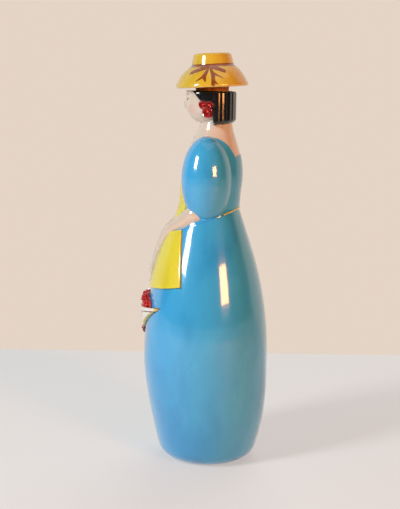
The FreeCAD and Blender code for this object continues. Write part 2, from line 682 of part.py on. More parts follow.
nodes = [
    skirt_vessel, bodice_shell, head_and_neck, left_sleeve, right_sleeve, left_forearm, right_forearm,
    apron_panel, bodice_front, waist_cord, hair_bob, left_ear_flowers, right_ear_flowers,
    bouquet_paper, bouquet_flowers, bouquet_knot, hat_stopper, cork_sleeve,
]

doc.recompute()
for item in doc.Objects:
    if "Invalid" in item.State or "Error" in item.State:
        raise RuntimeError("%s did not build: %s" % (item.Name, item.State))

os.makedirs("parts", exist_ok=True)
for node in nodes:
    shape = node.Shape
    if shape.isNull() or not shape.isValid() or not shape.Solids:
        raise RuntimeError("%s is not a valid solid" % node.Label)
    shape.exportStep("parts/%s.step" % node.Label)
    print(node.Label, len(shape.Solids), "solids", round(shape.Volume), "cubic mm")
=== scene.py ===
import bpy
import math
from mathutils import Matrix, Vector


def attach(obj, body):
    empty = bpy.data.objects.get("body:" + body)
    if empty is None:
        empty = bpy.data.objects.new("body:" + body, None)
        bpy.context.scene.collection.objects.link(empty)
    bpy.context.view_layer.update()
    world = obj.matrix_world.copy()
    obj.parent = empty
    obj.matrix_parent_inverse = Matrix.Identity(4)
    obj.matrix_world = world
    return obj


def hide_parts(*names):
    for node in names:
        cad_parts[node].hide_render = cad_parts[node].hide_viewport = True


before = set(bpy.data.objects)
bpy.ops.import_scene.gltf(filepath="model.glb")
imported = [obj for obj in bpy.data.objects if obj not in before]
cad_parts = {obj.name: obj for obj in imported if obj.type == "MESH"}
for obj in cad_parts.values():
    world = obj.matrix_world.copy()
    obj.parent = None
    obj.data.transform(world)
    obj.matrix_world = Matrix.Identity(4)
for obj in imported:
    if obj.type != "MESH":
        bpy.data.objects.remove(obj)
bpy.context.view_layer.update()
mm = 0.001


# shader maths: a Flow is one output socket, and arithmetic on it adds Math nodes
class Flow:
    def __init__(self, finish, socket):
        self.finish = finish
        self.socket = socket

    def maths(self, operation, *others):
        return self.finish.node("ShaderNodeMath", {"operation": operation}, dict(enumerate((self,) + others)))

    def also(self, name):  # another output of the same node
        return Flow(self.finish, self.socket.node.outputs[name])

    def __add__(self, other):
        return self.maths("ADD", other)

    __radd__ = __add__

    def __sub__(self, other):
        return self.maths("SUBTRACT", other)

    def __rsub__(self, other):
        return self.finish.node("ShaderNodeMath", {"operation": "SUBTRACT"}, {0: other, 1: self})

    def __mul__(self, other):
        return self.maths("MULTIPLY", other)

    __rmul__ = __mul__

    def __truediv__(self, other):
        return self.maths("DIVIDE", other)

    def __rtruediv__(self, other):
        return self.finish.node("ShaderNodeMath", {"operation": "DIVIDE"}, {0: other, 1: self})

    def __pow__(self, other):
        return self.maths("POWER", other)

    def __abs__(self):
        return self.maths("ABSOLUTE")


class Finish:
    def __init__(self, name, owner=None):
        self.material = owner or bpy.data.materials.new(name)
        self.material.use_nodes = True
        self.nodes = self.material.node_tree.nodes
        self.links = self.material.node_tree.links
        self.nodes.clear()

    def node(self, kind, settings=None, sockets=None, out=0):
        item = self.nodes.new(kind)
        for key, value in (settings or {}).items():
            setattr(item, key, value)
        for key, value in (sockets or {}).items():
            if isinstance(value, Flow):
                self.links.new(value.socket, item.inputs[key])
            else:
                item.inputs[key].default_value = value
        return Flow(self, item.outputs[out]) if item.outputs else None

    def place(self):  # Object coordinates
        return self.node("ShaderNodeTexCoord", out="Object")

    def axes(self):  # the same in millimetres, one value each
        parts = self.node("ShaderNodeSeparateXYZ", sockets={0: self.place()})
        return parts * 1000, parts.also("Y") * 1000, parts.also("Z") * 1000

    def noise(self, scale, detail=3.0, stretch=None):
        spot = self.place()
        if stretch:
            spot = self.node("ShaderNodeMapping", sockets={0: spot, 3: stretch})
        return self.node("ShaderNodeTexNoise", sockets={0: spot, "Scale": scale, "Detail": detail})

    def fade(self, value, low, high, atLow=0.0, atHigh=1.0):
        return self.node("ShaderNodeMapRange", {"interpolation_type": "SMOOTHSTEP"},
                         {0: value, 1: low, 2: high, 3: atLow, 4: atHigh})

    def blend(self, mask, under, over):
        return self.node("ShaderNodeMix", {"data_type": "RGBA"}, {0: mask, 6: under, 7: over}, out=2)

    def inside(self, distance, soft, strength=1.0):  # mask of a painted mark with a soft edge
        return self.fade(distance, -soft, soft, strength, 0.0)

    def stroke(self, u, v, start, end, startWidth, endWidth):  # distance to a tapered brush stroke
        du, dv = end[0] - start[0], end[1] - start[1]
        square = du * du + dv * dv
        reach = (u - start[0]) * (du / square) + (v - start[1]) * (dv / square)
        reach = reach.maths("MAXIMUM", 0.0).maths("MINIMUM", 1.0)
        offU = u - start[0] - reach * du
        offV = v - start[1] - reach * dv
        return (offU * offU + offV * offV) ** 0.5 - (reach * (endWidth - startWidth) + startWidth)

    def oval(self, u, v, centre, halfWidth, halfHeight):  # rough distance to an oval
        offU = (u - centre[0]) / halfWidth
        offV = (v - centre[1]) / halfHeight
        return ((offU * offU + offV * offV) ** 0.5 - 1.0) * min(halfWidth, halfHeight)

    def close(self, colour, roughness, bump=None, strength=0.1, coat=1.0, depth=0.0003):
        sockets = {"Base Color": colour, "Roughness": roughness, "Coat Weight": coat, "Coat Roughness": 0.03}
        if bump:
            sockets["Normal"] = self.node("ShaderNodeBump", sockets={
                "Strength": strength, "Distance": depth, "Height": bump})
        surface = self.node("ShaderNodeBsdfPrincipled", sockets=sockets)
        self.node("ShaderNodeOutputMaterial", sockets={0: surface})
        return self.material


glazeLook = {
    "blue": (0.046, 0.372, 0.700, 1), "blueDeep": (0.016, 0.240, 0.560, 1),
    "bluePale": (0.080, 0.480, 0.790, 1),
    "yellow": (0.730, 0.630, 0.040, 1), "yellowDeep": (0.640, 0.430, 0.020, 1),
    "yellowPale": (0.830, 0.790, 0.300, 1),
    "gold": (0.640, 0.425, 0.028, 1), "goldDeep": (0.560, 0.290, 0.013, 1),
    "goldPale": (0.700, 0.560, 0.100, 1),
    "skin": (0.640, 0.545, 0.450, 1), "skinWarm": (0.620, 0.460, 0.335, 1),
    "black": (0.0035, 0.0035, 0.004, 1), "blackSheen": (0.007, 0.007, 0.009, 1),
    "red": (0.560, 0.020, 0.026, 1), "redDeep": (0.200, 0.005, 0.014, 1), "redPale": (0.700, 0.080, 0.070, 1),
    "white": (0.780, 0.760, 0.710, 1), "brown": (0.190, 0.032, 0.006, 1), "speck": (0.030, 0.060, 0.090, 1),
    "bisque": (0.62, 0.55, 0.46, 1), "bisqueDark": (0.50, 0.40, 0.30, 1),
    "cork": (0.520, 0.155, 0.028, 1), "corkDark": (0.110, 0.028, 0.007, 1),
    "corkPale": (0.640, 0.260, 0.065, 1),
}
# how fine the glaze's clouds, specks and waves are, and how high the waves stand
grain = {"cloud": 42.0, "run": (1.0, 1.0, 0.45), "mottle": 520.0, "pits": 330.0, "rarePits": 150.0,
         "wave": 130.0, "fine": 900.0, "ripple": 0.06}


def glazed(finish, main, deep, pale, speckle=0.5):  # clouded colour with fine specks under a clear glaze
    cloud = finish.noise(grain["cloud"], 4.0, grain["run"])
    mottle = finish.noise(grain["mottle"], 2.0)
    colour = finish.blend(finish.fade(cloud, 0.46, 0.72, 0.0, 0.55), glazeLook[main], glazeLook[deep])
    colour = finish.blend(finish.fade(cloud, 0.44, 0.26, 0.0, 0.50), colour, glazeLook[pale])
    colour = finish.blend(finish.fade(mottle, 0.55, 0.75, 0.0, 0.16), colour, glazeLook[deep])
    pits = finish.node("ShaderNodeTexVoronoi", sockets={0: finish.place(), "Scale": grain["pits"]})
    rare = finish.node("ShaderNodeTexNoise", sockets={0: finish.place(), "Scale": grain["rarePits"]})
    dots = finish.fade(pits, 0.13, 0.07) * finish.fade(rare, 0.52, 0.60, 0.0, speckle)
    return finish.blend(dots, colour, glazeLook["speck"])


def glazeSkin(finish):  # uneven gloss and the slight waviness of poured glaze
    wave = finish.noise(grain["wave"], 2.0)
    fine = finish.noise(grain["fine"], 1.0)
    return finish.fade(fine, 0.3, 0.7, 0.10, 0.20), wave + fine * 0.12


def plainGlaze(name, main, deep, pale, speckle=0.5, coat=1.0):
    finish = Finish(name)
    gloss, wave = glazeSkin(finish)
    return finish.close(glazed(finish, main, deep, pale, speckle), gloss, wave, grain["ripple"], coat)


blueGlaze = plainGlaze("blueGlaze", "blue", "blueDeep", "bluePale")
yellowGlaze = plainGlaze("yellowGlaze", "yellow", "yellowDeep", "yellowPale", 0.25)
skinGlaze = plainGlaze("skinGlaze", "skin", "skinWarm", "white", 0.2)
blackGlaze = plainGlaze("blackGlaze", "black", "blackSheen", "blackSheen", 0.0, 0.4)
redGlaze = plainGlaze("redGlaze", "red", "redDeep", "redPale", 0.0)
print("glazes mixed")


# modelling helpers
def clearSelection():
    if bpy.context.object and bpy.context.object.mode == "EDIT":
        bpy.ops.object.mode_set(mode="OBJECT")
    bpy.ops.object.select_all(action="DESELECT")


def named(name):  # the piece just added
    piece = bpy.context.object
    piece.name = name
    piece.data.name = name
    return piece


def work(piece):
    clearSelection()
    bpy.context.view_layer.objects.active = piece
    piece.select_set(True)


def settle(piece):  # the place goes into the mesh
    work(piece)
    bpy.ops.object.transform_apply(location=True, rotation=True, scale=True)


def tidyMesh(piece):
    work(piece)
    bpy.ops.object.mode_set(mode="EDIT")
    bpy.ops.mesh.select_all(action="SELECT")
    bpy.ops.mesh.remove_doubles(threshold=0.01 * mm)
    bpy.ops.mesh.normals_make_consistent(inside=False)
    bpy.ops.object.mode_set(mode="OBJECT")


def change(piece, kind, **settings):  # adds a modifier and applies it
    work(piece)
    item = piece.modifiers.new(kind.lower(), kind)
    for key, value in settings.items():
        setattr(item, key, value)
    bpy.ops.object.modifier_apply(modifier=item.name)


def carve(piece, tool, operation="DIFFERENCE"):
    change(piece, "BOOLEAN", object=tool, operation=operation, solver="EXACT")
    bpy.data.objects.remove(tool)


def fuse(piece, voxel, passes):  # one skin over overlapping forms, softened as under glaze
    change(piece, "REMESH", mode="VOXEL", voxel_size=voxel * mm)
    if passes:
        change(piece, "SMOOTH", factor=0.5, iterations=passes)


def gather(name, pieces):
    clearSelection()
    for piece in pieces:
        piece.select_set(True)
    bpy.context.view_layer.objects.active = pieces[0]
    bpy.ops.object.join()
    return named(name)


def copyOf(piece, name):
    twin = piece.copy()
    twin.data = piece.data.copy()
    twin.name = name
    bpy.context.collection.objects.link(twin)
    return twin


def otherSide(piece, name):  # the same piece on the figure's right
    twin = copyOf(piece, name)
    work(twin)
    twin.scale = (-1, 1, 1)
    settle(twin)
    tidyMesh(twin)
    return twin


def finished(piece, material, slot, body, *nodes, angle=40):
    settle(piece)
    bpy.ops.object.shade_smooth_by_angle(angle=math.radians(angle))
    piece.data.materials.clear()
    piece.data.materials.append(material)
    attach(piece, body)
    if nodes:
        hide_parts(*nodes)
    print("made", piece.name, len(piece.data.polygons), "faces")


def slanted(angle):  # normal of a plane that rises towards the back
    turn = math.radians(angle)
    return Vector((0, -math.sin(turn), math.cos(turn)))


def arc(centre, radius, start, end, count):  # points on an arc, angles in degrees
    points = []
    for i in range(count + 1):
        turn = math.radians(start + (end - start) * i / count)
        points.append((centre[0] + radius * math.cos(turn), centre[1] + radius * math.sin(turn)))
    return points


def arcBetween(start, end, radius, count):  # bulges outwards for a positive radius
    a, b = Vector(start), Vector(end)
    half = (b - a) / 2
    side = Vector((half.y, -half.x)).normalized() * (-1 if radius > 0 else 1)
    centre = a + half + side * math.sqrt(radius ** 2 - half.length_squared)
    first = math.degrees(math.atan2(a.y - centre.y, a.x - centre.x))
    last = math.degrees(math.atan2(b.y - centre.y, b.x - centre.x))
    if last - first > 180:
        last -= 360
    if first - last > 180:
        last += 360
    return arc(centre, abs(radius), first, last, count)


def rounded(corners, count=6):  # a polyline of radius, height and rounding
    points = []
    for i, (r, z, bend) in enumerate(corners):
        here = Vector((r, z))
        if not bend or i in (0, len(corners) - 1):
            points.append((r, z))
            continue
        back = (Vector(corners[i - 1][:2]) - here).normalized()
        on = (Vector(corners[i + 1][:2]) - here).normalized()
        half = back.angle(on) / 2
        centre = here + (back + on).normalized() * (bend / math.sin(half))
        tangent = bend / math.tan(half)
        first, last = here + back * tangent - centre, here + on * tangent - centre
        start = math.atan2(first.y, first.x)
        sweep = math.atan2(first.x * last.y - first.y * last.x, first.dot(last))
        points += arc(centre, bend, math.degrees(start), math.degrees(start + sweep), count)
    return points


def drawn(name, spots):  # a line drawn point by point, left open in edit mode
    clearSelection()
    bpy.ops.mesh.primitive_plane_add(size=mm, location=spots[0])
    piece = named(name)
    bpy.ops.object.transform_apply(location=True)
    bpy.ops.object.mode_set(mode="EDIT")
    bpy.ops.mesh.select_mode(type="VERT")
    bpy.ops.mesh.merge(type="CENTER")
    for before, after in zip(spots, spots[1:]):
        bpy.ops.mesh.extrude_region_move(TRANSFORM_OT_translate={"value": after - before})
    bpy.ops.mesh.select_all(action="SELECT")
    return piece


def turned(name, profile, steps, foot=(0, 0, 0), lean=0.0):
    # a profile of radius and height, spun about a leaning axis
    axis = Vector((0, math.sin(math.radians(lean)), math.cos(math.radians(lean))))
    base = Vector(foot) * mm
    piece = drawn(name, [base + (Vector((1, 0, 0)) * r + axis * z) * mm for r, z in profile])
    bpy.ops.mesh.spin(steps=steps, angle=2 * math.pi, center=base, axis=axis)
    tidyMesh(piece)
    return piece


def solidOf(name, profile, steps, foot, lean=0.0):  # the same with both ends closed to the axis
    line = [(0, profile[0][1])] + profile + [(0, profile[-1][1])]
    return turned(name, line, steps, foot, lean)


def slab(name, outline, way):  # an outline filled and drawn out
    piece = drawn(name, [Vector(spot) * mm for spot in outline])
    bpy.ops.mesh.edge_face_add()
    bpy.ops.mesh.select_all(action="SELECT")
    bpy.ops.mesh.extrude_region_move(TRANSFORM_OT_translate={"value": Vector(way) * mm})
    tidyMesh(piece)
    return piece


def ballAt(name, centre, half, segments=32, rings=20):
    clearSelection()
    bpy.ops.mesh.primitive_uv_sphere_add(segments=segments, ring_count=rings, radius=mm)
    piece = named(name)
    bpy.ops.object.mode_set(mode="EDIT")
    bpy.ops.transform.resize(value=half)
    bpy.ops.transform.translate(value=Vector(centre) * mm)
    bpy.ops.object.mode_set(mode="OBJECT")
    return piece


def sliceOff(piece, point, normal, keepBelow=True, fill=False):
    work(piece)
    bpy.ops.object.mode_set(mode="EDIT")
    bpy.ops.mesh.select_all(action="SELECT")
    bpy.ops.mesh.bisect(plane_co=Vector(point) * mm, plane_no=normal, use_fill=fill,
                        clear_outer=keepBelow, clear_inner=not keepBelow)
    bpy.ops.object.mode_set(mode="OBJECT")


def closeRim(piece):  # bridges the two open loops that a slice leaves on a wall
    work(piece)
    bpy.ops.object.mode_set(mode="EDIT")
    bpy.ops.mesh.select_mode(type="EDGE")
    bpy.ops.mesh.select_all(action="DESELECT")
    bpy.ops.mesh.select_non_manifold(extend=False, use_wire=False, use_multi_face=False,
                                     use_non_contiguous=False, use_verts=False)
    bpy.ops.mesh.bridge_edge_loops()
    bpy.ops.object.mode_set(mode="OBJECT")


def pick(piece, test):  # opens edit mode with the points chosen by their place
    work(piece)
    bpy.ops.object.mode_set(mode="EDIT")
    bpy.ops.mesh.select_mode(type="VERT")
    bpy.ops.mesh.select_all(action="DESELECT")
    bpy.ops.object.mode_set(mode="OBJECT")
    for point in piece.data.vertices:
        point.select = test(point.co)
    bpy.ops.object.mode_set(mode="EDIT")


def drift(piece, start, end, count, shift, above):  # beyond each level, points move back one small step more
    for i in range(count):
        level = (start + (end - start) * i / (count - 1)) * mm
        pick(piece, lambda spot: (spot.z > level) == above)
        bpy.ops.transform.translate(value=(0, shift / count * mm, 0))
        bpy.ops.object.mode_set(mode="OBJECT")


def soften(piece, width, segments=4, angle=40):
    change(piece, "BEVEL", width=width * mm, segments=segments, limit_method="ANGLE",
           angle_limit=math.radians(angle), use_clamp_overlap=True)


# skirt: foot, rounded hem, barrel and the straight run to the slanted waist
skirt = {"middle": -1.9, "hip": 69.0, "hipRadius": 41.03, "sweep": 228.0, "hem": 12.0, "bend": 73.0,
         "wall": 3.6, "top": 178.0, "waist": 161.0, "waistSlant": 18.3, "rim": 0.9, "steps": 144,
         "hemCuts": 12, "sweepCuts": 56, "runCuts": 12,
         "driftFrom": 62.0, "driftTo": 30.0, "drift": 1.8, "driftCuts": 16}


def skirtProfile(grow):  # one wall of the skirt, from the foot up
    centre = skirt["hipRadius"] - skirt["sweep"]
    span, fall = skirt["sweep"] - skirt["hem"], skirt["hip"] - skirt["hem"]
    foot = centre + math.sqrt(span ** 2 - fall ** 2)
    touch = math.degrees(math.atan2(-fall, foot - centre))
    crest = math.degrees(math.asin(skirt["bend"] / skirt["sweep"]))
    points = arc((foot, skirt["hem"]), skirt["hem"] + grow, -90, touch, skirt["hemCuts"])
    points += arc((centre, skirt["hip"]), skirt["sweep"] + grow, touch, crest, skirt["sweepCuts"])[1:]
    r, z = points[-1]
    slope = math.tan(math.radians(crest))
    for i in range(1, skirt["runCuts"] + 1):
        rise = (skirt["top"] - z) * i / skirt["runCuts"]
        points.append((r - slope * rise, z + rise))
    return points


skirtFoot = (0, skirt["middle"], 0)
waistSpot = Vector((0, 0, skirt["waist"]))
waistNormal = slanted(skirt["waistSlant"])
outerWall = skirtProfile(0.0)
innerWall = skirtProfile(-skirt["wall"])
skirtLine = [(0, 0)] + outerWall + innerWall[::-1] + [(0, innerWall[0][1])]
skirtPiece = turned("skirt", skirtLine, skirt["steps"], skirtFoot)
sliceOff(skirtPiece, waistSpot, waistNormal)
closeRim(skirtPiece)
# the foot stands a little further back than the waist
drift(skirtPiece, skirt["driftFrom"], skirt["driftTo"], skirt["driftCuts"], skirt["drift"], above=False)
soften(skirtPiece, skirt["rim"])
finished(skirtPiece, blueGlaze, "blue_glaze", "bottle", "skirt_vessel")


# bodice with its puffed sleeves, glazed over as one
torso = {"foot": (0, -0.7, 168.0), "lean": 4.0, "underDrop": 22.0, "flare": 6.4 / 30, "waist": 19.2,
         "ribs": 12.0, "chestSweep": 55.0, "shoulder": (16.0, 38.0), "nape": (11.6, 49.0),
         "neckSweep": 40.0, "top": (9.9, 56.5), "wall": 3.6, "proud": 0.5, "neckline": 192.7,
         "necklineSlant": 27.0, "steps": 128, "flareCuts": 6, "ribCuts": 5, "chestCuts": 14, "neckCuts": 6,
         "voxel": 0.45, "passes": 10}
sleeveEgg = {"centre": (12.4, -2.9, 186.5), "half": (16.0, 16.1), "top": 27.0, "tip": 30.0, "sunk": 1.6,
             "sides": (96, 64)}
shoulder = {"centre": (12.4, -0.3, 186.5), "half": (16.0, 18.7, 26.4), "depth": 2.4}


def torsoProfile(grow):  # one wall of the torso, from below the waist up to the neck
    low, flareCuts, neckCuts = torso["underDrop"], torso["flareCuts"], torso["neckCuts"]
    (shoulderR, shoulderZ), (napeR, napeZ), (topR, topZ) = torso["shoulder"], torso["nape"], torso["top"]
    hem = (torso["waist"] + torso["flare"] * low + grow, -low)
    waist = (torso["waist"] + grow, 0)
    points = [hem] + [tuple(Vector(hem).lerp(Vector(waist), i / flareCuts)) for i in range(1, flareCuts + 1)]
    points += [(waist[0], torso["ribs"] * i / torso["ribCuts"]) for i in range(1, torso["ribCuts"] + 1)]
    chest = (shoulderR + grow, shoulderZ)
    points += arcBetween(points[-1], chest, torso["chestSweep"], torso["chestCuts"])[1:]
    a, b = Vector(torso["shoulder"]), Vector(torso["nape"])
    points += [tuple(a.lerp(b, i / neckCuts) + Vector((grow, 0))) for i in range(1, neckCuts + 1)]
    points += arcBetween((napeR + grow, napeZ), (topR + grow, topZ), -torso["neckSweep"], neckCuts)[1:]
    return points


def torsoWall(name, outside, inside):
    outer, inner = torsoProfile(outside), torsoProfile(inside)
    return turned(name, outer + inner[::-1] + [outer[0]], torso["steps"], torso["foot"], torso["lean"])


def torsoSolid(name, grow):
    return solidOf(name, torsoProfile(grow), torso["steps"], torso["foot"], torso["lean"])


def makeSleeve():
    wide, deep = sleeveEgg["half"]
    egg = ballAt("sleeve", (0, 0, 0), (wide, deep, sleeveEgg["tip"]), *sleeveEgg["sides"])
    pick(egg, lambda spot: spot.z > 0)
    bpy.ops.transform.resize(value=(1, 1, sleeveEgg["top"] / sleeveEgg["tip"]), center_override=(0, 0, 0))
    bpy.ops.mesh.select_all(action="SELECT")
    bpy.ops.transform.translate(value=Vector(sleeveEgg["centre"]) * mm)
    bpy.ops.object.mode_set(mode="OBJECT")
    carve(egg, torsoSolid("sleeveCore", -sleeveEgg["sunk"]))
    return egg


def makeShoulder():  # the bodice runs up behind the sleeve
    piece = torsoWall("shoulder", torso["proud"], -shoulder["depth"])
    edge = ballAt("shoulderEdge", shoulder["centre"], shoulder["half"], *sleeveEgg["sides"])
    carve(piece, edge, "INTERSECT")
    return piece


necklineSpot = Vector((0, 0, torso["neckline"]))
necklineNormal = slanted(torso["necklineSlant"])
bodicePiece = torsoWall("bodice", torso["proud"], -torso["wall"])
sliceOff(bodicePiece, necklineSpot, necklineNormal)
closeRim(bodicePiece)
sliceOff(bodicePiece, waistSpot - waistNormal, waistNormal, keepBelow=False)  # reaches 1 mm below the waist
closeRim(bodicePiece)
leftSleeve = gather("leftSleeve", [makeSleeve(), makeShoulder()])
rightSleeve = otherSide(leftSleeve, "rightSleeve")
bodicePiece = gather("bodiceAndSleeves", [bodicePiece, leftSleeve, rightSleeve])
fuse(bodicePiece, torso["voxel"], torso["passes"])
finished(bodicePiece, blueGlaze, "blue_glaze", "bottle", "bodice_shell", "left_sleeve", "right_sleeve")


# neck and head, with the way through to the mouth
head = {"middle": -2.0, "chin": 221.96, "jaw": 7.5, "jawSweep": 13.5, "jawCuts": 16, "cheek": (14.5, 232.36),
        "crown": (14.9, 241.96), "nose": (0, -16.3, 233.2), "noseHalf": (1.5, 1.9, 2.9), "steps": 128,
        "voxel": 0.36, "passes": 9}
mouth = {"floor": 229.96, "low": 9.7, "high": 11.1, "length": 16.6, "lip": 0.8, "lipCuts": 6, "clear": 4.0}
throat = {"middle": 0.6, "floor": 213.96, "low": 5.4, "high": 8.0, "top": 230.2, "boreTop": 220.8,
          "steps": 96}


def wayTools():  # everything that is hollow in the neck and the head
    lipTop = head["crown"][1]
    above = lipTop + mouth["clear"]
    slope = (mouth["high"] - mouth["low"]) / mouth["length"]
    lipRadius = mouth["low"] + slope * (lipTop - mouth["floor"])
    bend = arc((0, lipTop - mouth["lip"]), mouth["lip"], 0, 90, mouth["lipCuts"])
    lip = [(lipRadius + mouth["lip"] - x, z) for x, z in bend]
    seatLine = [(0, mouth["floor"]), (mouth["low"], mouth["floor"])] + lip + [(lip[-1][0], above), (0, above)]
    seat = turned("seat", seatLine, throat["steps"])
    funnelLine = [(throat["low"], throat["floor"]), (throat["high"], throat["top"])]
    funnel = solidOf("funnel", funnelLine, throat["steps"], (0, throat["middle"], 0))
    bore = torsoSolid("bore", -torso["wall"])
    sliceOff(bore, (0, 0, throat["boreTop"]), (0, 0, 1), fill=True)
    return seat, funnel, bore


jawLine = arcBetween((head["jaw"], head["chin"]), head["cheek"], head["jawSweep"], head["jawCuts"])
headLine = [(0, head["chin"])] + jawLine + [head["crown"], (0, head["crown"][1])]
headPiece = turned("headAndNeck", headLine, head["steps"], (0, head["middle"], 0))
neckPiece = torsoSolid("neck", 0.0)
# the neck reaches 1 mm below the neckline
sliceOff(neckPiece, necklineSpot - necklineNormal, necklineNormal, keepBelow=False, fill=True)
nosePiece = ballAt("nose", head["nose"], head["noseHalf"])
headPiece = gather("headAndNeck", [headPiece, neckPiece, nosePiece])
fuse(headPiece, head["voxel"], head["passes"])
for tool in wayTools():
    carve(headPiece, tool)


# the face is painted: brows, lash lines, eyes, lips and a little blush
face = {"eye": (5.4, 236.2), "eyeHalf": (1.9, 0.95), "iris": 0.95, "pupil": 0.45, "lash": 0.32, "brow": 239.2,
        "mouth": 228.6, "lipHalf": 2.3, "cheek": (8.6, 230.4), "cheekRadius": 4.2,
        "front": (-6.0, -9.0), "soft": 0.10,
        "blushTint": (0.72, 0.22, 0.18, 1), "eyeTint": (0.80, 0.79, 0.76, 1),
        "irisTint": (0.06, 0.035, 0.02, 1), "pupilTint": (0.004, 0.004, 0.004, 1),
        "glintTint": (0.85, 0.85, 0.85, 1), "lashTint": (0.01, 0.008, 0.007, 1),
        "browTint": (0.02, 0.012, 0.01, 1)}


def paintedFace():
    finish = Finish("faceGlaze")
    gloss, wave = glazeSkin(finish)
    colour = glazed(finish, "skin", "skinWarm", "white", 0.2)
    x, y, z = finish.axes()
    side = abs(x)
    ahead = finish.fade(y, *face["front"])  # only on the front of the head
    ex, ez = face["eye"]
    wide, tall = face["eyeHalf"]
    brow, lips, lipEnd = face["brow"], face["mouth"], face["lipHalf"]
    lashTop, browTop, lipTop = (ex - 0.2, ez + tall + 0.1), (ex + 0.3, brow + 0.7), (0.8, lips + 0.62)
    blush = finish.oval(side, z, face["cheek"], face["cheekRadius"], face["cheekRadius"])
    colour = finish.blend(finish.fade(blush, -4.0, 1.0, 0.30, 0.0) * ahead, colour, face["blushTint"])
    ovals = (((ex, ez), wide, tall, face["eyeTint"]),
             ((ex, ez + 0.1), face["iris"], face["iris"], face["irisTint"]),
             ((ex, ez + 0.1), face["pupil"], face["pupil"], face["pupilTint"]),
             ((ex - 0.3, ez + 0.5), 0.22, 0.22, face["glintTint"]))
    strokes = (((ex - wide, ez), lashTop, 0.14, face["lash"], face["lashTint"]),
               (lashTop, (ex + wide + 0.5, ez + 0.35), face["lash"], 0.12, face["lashTint"]),
               ((ex - 2.2, brow - 0.3), browTop, 0.30, 0.28, face["browTint"]),
               (browTop, (ex + 2.8, brow - 0.2), 0.28, 0.10, face["browTint"]),
               ((0.0, lips + 0.35), lipTop, 0.42, 0.45, glazeLook["red"]),
               (lipTop, (lipEnd, lips), 0.45, 0.10, glazeLook["red"]),
               ((0.0, lips - 0.45), (lipEnd - 0.3, lips - 0.1), 0.62, 0.15, glazeLook["red"]),
               ((0.0, lips - 0.02), (lipEnd, lips), 0.10, 0.05, glazeLook["redDeep"]))
    layers = [(finish.oval(side, z, *form), tint) for *form, tint in ovals]
    layers += [(finish.stroke(side, z, *form), tint) for *form, tint in strokes]
    for distance, tint in layers:
        colour = finish.blend(finish.inside(distance, face["soft"]) * ahead, colour, tint)
    return finish.close(colour, gloss, wave, grain["ripple"])


finished(headPiece, paintedFace(), "skin_glaze", "bottle", "head_and_neck", angle=50)


# hair: a smooth fringe over a bob of rounded locks
hair = {"middle": -1.8, "cap": 15.6, "fringe": 16.35, "fringeEnd": 2.4, "inside": 14.0, "top": 241.96,
        "round": 1.8, "neckGap": 8.0, "nape": 222.5, "scalp": 226.0, "steps": 128,
        "hem": 220.0, "hemRound": 4.5, "hemCuts": 8, "hemRise": 30.0, "slant": 5.0, "hemMiddle": -1.2,
        "hemRadius": 17.0, "spread": 20.5, "spare": 8.0,
        "lockMiddle": -1.1, "lockRadius": 4.2, "lockReach": 12.5, "locks": 11, "firstAngle": 20.0,
        "step": 14.0, "lockSides": 28, "lockDrop": 0.3, "lockRound": 1.2,
        "faceEdge": [(-60, 246), (-12.8, 246), (-12.8, 241.96), (-7.7, 235.76), (-0.6, 234.56), (1.2, 220.36),
                     (1.2, 205), (-60, 205)], "faceHalf": 40.0,
        "sunk": 0.6, "coreFoot": 215.0, "coreNape": 10.0, "coreGap": 0.4, "coreTop": 246.0, "coreSteps": 96,
        "voxels": (0.32, 0.30), "passes": 5}


def hairShell(name, radius):
    low, gap, inside, top = hair["hem"] - hair["spare"], hair["neckGap"], hair["inside"], hair["top"]
    profile = rounded([(gap, low, 0), (radius, low, 0), (radius, top, hair["round"]), (inside, top, 0),
                       (inside, hair["scalp"], 0), (gap, hair["nape"], 0), (gap, low, 0)])
    return turned(name, profile, hair["steps"], (0, hair["middle"], 0))


def hairLock(name, angle):
    low, high = hair["hem"] - hair["spare"], hair["top"] - hair["lockDrop"]
    turn = math.radians(angle)
    reach = hair["lockReach"]
    spot = Vector((reach * math.cos(turn), hair["lockMiddle"] + reach * math.sin(turn), (low + high) / 2))
    clearSelection()
    bpy.ops.mesh.primitive_cylinder_add(vertices=hair["lockSides"], radius=hair["lockRadius"] * mm,
                                        depth=(high - low) * mm, location=spot * mm)
    piece = named(name)
    bpy.ops.object.transform_apply(location=True)
    soften(piece, hair["lockRound"])
    return piece


fringe = hairShell("fringe", hair["fringe"])
sliceOff(fringe, (0, hair["fringeEnd"], 0), (0, 1, 0), fill=True)
lockPieces = [hairLock("lock%d" % i, hair["firstAngle"] + hair["step"] * i) for i in range(hair["locks"])]
hairPiece = gather("hairBob", [hairShell("hairCap", hair["cap"]), fringe] + lockPieces)
fuse(hairPiece, hair["voxels"][0], 0)
faceOutline = [(-hair["faceHalf"], y, z) for y, z in hair["faceEdge"]]
carve(hairPiece, slab("faceOpening", faceOutline, (2 * hair["faceHalf"], 0, 0)))
hemLine = rounded([(0, 0, 0), (hair["hemRadius"], 0, hair["hemRound"]), (hair["spread"], hair["hemRise"], 0),
                   (0, hair["hemRise"], 0)], hair["hemCuts"])
hemForm = turned("hemForm", hemLine, hair["coreSteps"], (0, hair["hemMiddle"], hair["hem"]), -hair["slant"])
carve(hairPiece, hemForm, "INTERSECT")
carve(hairPiece, torsoSolid("hairCore", -hair["sunk"]))
coreRadius = hair["inside"] - hair["coreGap"]
coreLine = [(0, hair["coreFoot"]), (hair["coreNape"], hair["nape"]), (coreRadius, hair["scalp"]),
            (coreRadius, hair["coreTop"]), (0, hair["coreTop"])]
carve(hairPiece, turned("headCore", coreLine, hair["coreSteps"], (0, hair["middle"], 0)))
fuse(hairPiece, hair["voxels"][1], hair["passes"])
finished(hairPiece, blackGlaze, "black_glaze", "bottle", "hair_bob", angle=60)


